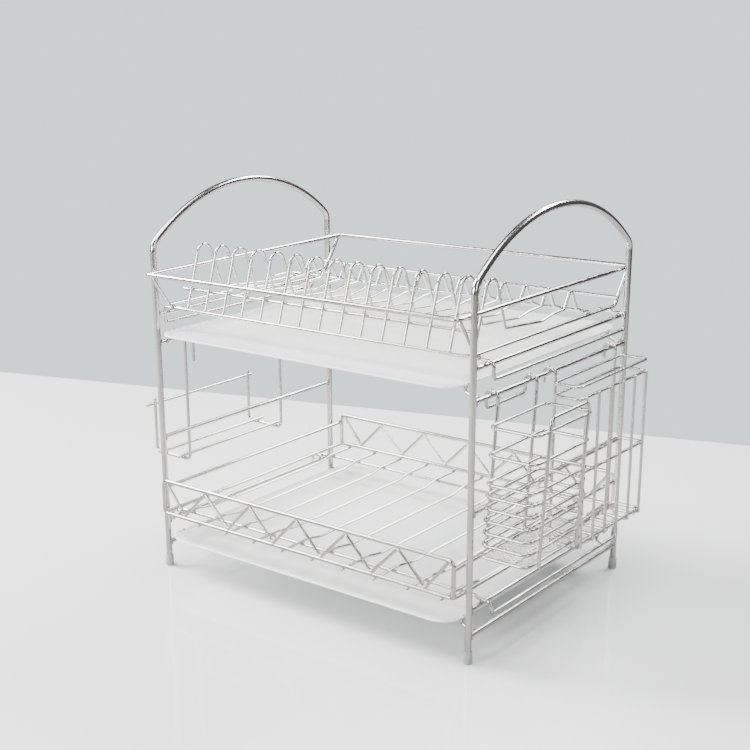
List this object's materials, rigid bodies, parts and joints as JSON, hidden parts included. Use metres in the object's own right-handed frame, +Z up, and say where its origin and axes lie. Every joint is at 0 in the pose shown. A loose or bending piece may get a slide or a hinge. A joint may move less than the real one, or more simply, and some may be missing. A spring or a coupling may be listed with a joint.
{
  "type": "dish drying rack",
  "caption": "Two-tier wire dish rack with arched side frames, plate and bowl baskets, pull-out drip trays, and utensil, knife and board holders hooked on its sides",
  "frame": {"origin": "centre of the bounding box's base, on the table midway between the four feet", "axes": "+X to the rack's right, towards the utensil and knife baskets; +Y to the back; +Z up. The front, where the trays pull out, faces -Y"},
  "size_m": [0.4544, 0.282, 0.3602],
  "materials": {
    "frame_steel": "polished stainless steel tube and rail",
    "wire_steel": "polished stainless steel wire",
    "tray_plastic": "glossy white moulded plastic",
    "cap_plastic": "soft translucent grey plastic"
  },
  "bodies": {
    "stand": {"foot_caps": "cap_plastic", "frame_tube_left": "frame_steel", "frame_tube_right": "frame_steel", "rail_a_left": "frame_steel", "rail_a_right": "frame_steel", "rail_b_left": "frame_steel", "rail_b_right": "frame_steel", "rail_c_left": "frame_steel", "rail_c_right": "frame_steel", "rail_d_left": "frame_steel", "rail_d_right": "frame_steel", "rail_e_left": "frame_steel", "rail_e_right": "frame_steel", "tray_hooks": "wire_steel"},
    "plate_basket": {"plate_basket_end_left": "wire_steel", "plate_basket_end_right": "wire_steel", "plate_basket_floor_rail": "wire_steel", "plate_basket_front_rail": "wire_steel", "plate_basket_lock_left": "wire_steel", "plate_basket_lock_right": "wire_steel", "plate_basket_mid_rail": "wire_steel", "plate_basket_rear_rail": "wire_steel", "plate_basket_top_frame": "wire_steel", "plate_divider_01": "wire_steel", "plate_divider_02": "wire_steel", "plate_divider_03": "wire_steel", "plate_divider_04": "wire_steel", "plate_divider_05": "wire_steel", "plate_divider_06": "wire_steel", "plate_divider_07": "wire_steel", "plate_divider_08": "wire_steel", "plate_divider_09": "wire_steel", "plate_divider_10": "wire_steel", "plate_divider_11": "wire_steel", "plate_divider_12": "wire_steel", "plate_divider_13": "wire_steel", "plate_divider_14": "wire_steel", "plate_divider_15": "wire_steel"},
    "bowl_basket": {"bowl_basket_bottom_frame": "wire_steel", "bowl_basket_carrier": "wire_steel", "bowl_basket_floor_wires": "wire_steel", "bowl_basket_front_frame": "wire_steel", "bowl_basket_front_zigzag": "wire_steel", "bowl_basket_rear_frame": "wire_steel", "bowl_basket_rear_zigzag": "wire_steel", "bowl_basket_side_rails": "wire_steel"},
    "utensil_basket": {"utensil_basket_hanger": "wire_steel", "utensil_basket_hoops": "wire_steel", "utensil_basket_mesh": "wire_steel", "utensil_basket_outer_loop": "wire_steel"},
    "knife_basket": {"knife_basket_bars": "wire_steel", "knife_basket_hooks": "wire_steel", "knife_basket_rims": "wire_steel"},
    "board_holder": {"board_holder_arms": "wire_steel", "board_holder_bars": "wire_steel"},
    "upper_tray": {"drip_tray_upper": "tray_plastic"},
    "lower_tray": {"drip_tray_lower": "tray_plastic"}
  },
  "joints": [
    {"name": "plate_basket_lift", "type": "slide", "parent": "stand", "child": "plate_basket", "axis": [0, 0, 1], "range_m": [0, 0.06]},
    {"name": "bowl_basket_lift", "type": "slide", "parent": "stand", "child": "bowl_basket", "axis": [0, 0, 1], "range_m": [0, 0.018]},
    {"name": "upper_tray_pull", "type": "slide", "parent": "stand", "child": "upper_tray", "axis": [0, -1, 0], "range_m": [0, 0.2]},
    {"name": "lower_tray_pull", "type": "slide", "parent": "stand", "child": "lower_tray", "axis": [0, -1, 0], "range_m": [0, 0.2]},
    {"name": "utensil_basket_lift", "type": "slide", "parent": "stand", "child": "utensil_basket", "axis": [0, 0, 1], "range_m": [0, 0.012]},
    {"name": "knife_basket_lift", "type": "slide", "parent": "stand", "child": "knife_basket", "axis": [0, 0, 1], "range_m": [0, 0.012]},
    {"name": "board_holder_lift", "type": "slide", "parent": "stand", "child": "board_holder", "axis": [0, 0, 1], "range_m": [0, 0.012]}
  ]
}
